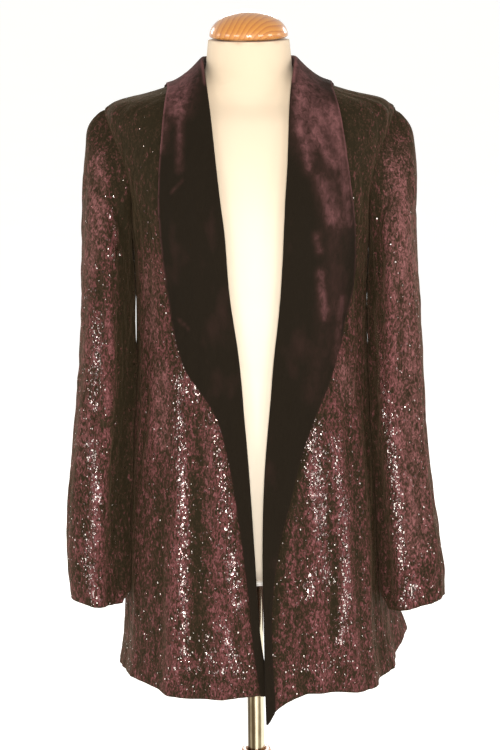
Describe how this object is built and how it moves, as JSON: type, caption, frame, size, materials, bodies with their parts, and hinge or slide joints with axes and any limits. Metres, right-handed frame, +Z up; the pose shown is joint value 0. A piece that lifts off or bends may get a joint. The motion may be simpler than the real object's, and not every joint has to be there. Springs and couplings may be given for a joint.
{
  "type": "blazer on a dress form",
  "caption": "Long shawl-collared evening blazer, open at the front, on a limbless dress form with a wooden cap, a metal pole and a round foot.",
  "frame": {"origin": "centre of the round foot's underside, on the floor, on the pole's axis", "axes": "+Z up along the pole, -Y out of the front of the blazer, +X towards the wearer's left sleeve"},
  "size_m": [0.509, 0.38, 1.4535],
  "materials": {
    "glitter_burnout": "mottled burgundy and near-black burnout velvet with metallic flecks",
    "collar_velvet": "plain crushed silk velvet, dark plum",
    "cream_jersey": "smooth matt cream jersey over padding",
    "white_board": "matt off-white",
    "pine": "honey pine under gloss lacquer",
    "chrome": "polished chrome tube"
  },
  "bodies": {
    "root": {"front_left": "glitter_burnout", "front_right": "glitter_burnout", "back_left": "glitter_burnout", "back_right": "glitter_burnout", "sleeve_left": "glitter_burnout", "sleeve_right": "glitter_burnout", "shawl_left": "collar_velvet", "shawl_right": "collar_velvet", "form_torso": "cream_jersey", "form_board": "white_board", "neck_cap": "pine", "pole": "chrome", "stand_column": "pine", "stand_foot": "pine"}
  },
  "joints": []
}
